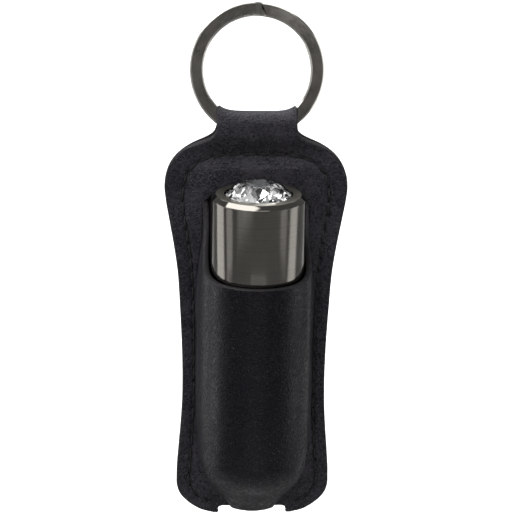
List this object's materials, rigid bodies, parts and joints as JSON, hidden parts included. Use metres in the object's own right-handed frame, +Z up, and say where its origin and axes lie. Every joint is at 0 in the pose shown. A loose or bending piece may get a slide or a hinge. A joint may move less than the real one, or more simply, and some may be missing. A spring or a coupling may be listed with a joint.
{
  "type": "keychain flashlight",
  "caption": "Short turned metal flashlight with a cut crystal lens, held in a sewn leather sheath that hangs by a folded strap from a flat split ring.",
  "frame": {"origin": "inner top of the split ring, where a hook or another ring carries it", "axes": "+Z up, -Y out of the front of the sheath, +X to the right seen from the front; the ring lies in the X-Z plane"},
  "size_m": [0.0344, 0.0354, 0.0994],
  "materials": {
    "ring_steel": "black nickel, satin, bright along its bevels",
    "sheath_leather": "black, fine pebble grain, semi-gloss",
    "thread": "waxed black thread",
    "gunmetal": "polished gunmetal plating with fine turning lines",
    "crystal": "clear, faceted, polished",
    "rubber": "matte",
    "bright_plating": "mirror plated plastic",
    "led_epoxy": "clear epoxy",
    "white_plastic": "moulded",
    "circuit_board": "solder mask",
    "tinned_wire": "tinned",
    "brass": "turned",
    "cell_case": "nickel-plated steel case"
  },
  "bodies": {
    "ring": {"split_ring": "ring_steel"},
    "sheath": {"loop_strap": "sheath_leather", "front_panel": "sheath_leather", "back_panel": "sheath_leather", "seam_thread": "thread"},
    "light": {"barrel": "gunmetal", "neck_o_ring": "rubber", "battery_sleeve": "white_plastic", "button_cell_1": "cell_case", "button_cell_2": "cell_case", "button_cell_3": "cell_case", "button_cell_4": "cell_case", "tail_spring": "tinned_wire", "tail_cap": "gunmetal", "tail_o_ring": "rubber"},
    "head": {"head_shell": "gunmetal", "crystal_lens": "crystal", "lens_seal": "rubber", "reflector": "bright_plating", "led": "led_epoxy", "led_holder": "white_plastic", "led_board": "circuit_board", "anode_lead": "tinned_wire", "cathode_lead": "tinned_wire", "contact_stud": "brass"}
  },
  "joints": [
    {"name": "loop_swing", "type": "hinge", "parent": "ring", "child": "sheath", "pos_m": [0, 0, -0.02125], "axis": [1, 0, 0], "range_deg": [-100, 75], "deforming": ["loop_strap"]},
    {"name": "light_slide", "type": "slide", "parent": "sheath", "child": "light", "axis": [0, -0.2672, 0.9636], "range_m": [0, 0.06]},
    {"name": "head_twist", "type": "hinge", "parent": "light", "child": "head", "pos_m": [0, -0.0087, -0.03291], "axis": [0, -0.2672, 0.9636], "range_deg": [-90, 0]}
  ]
}
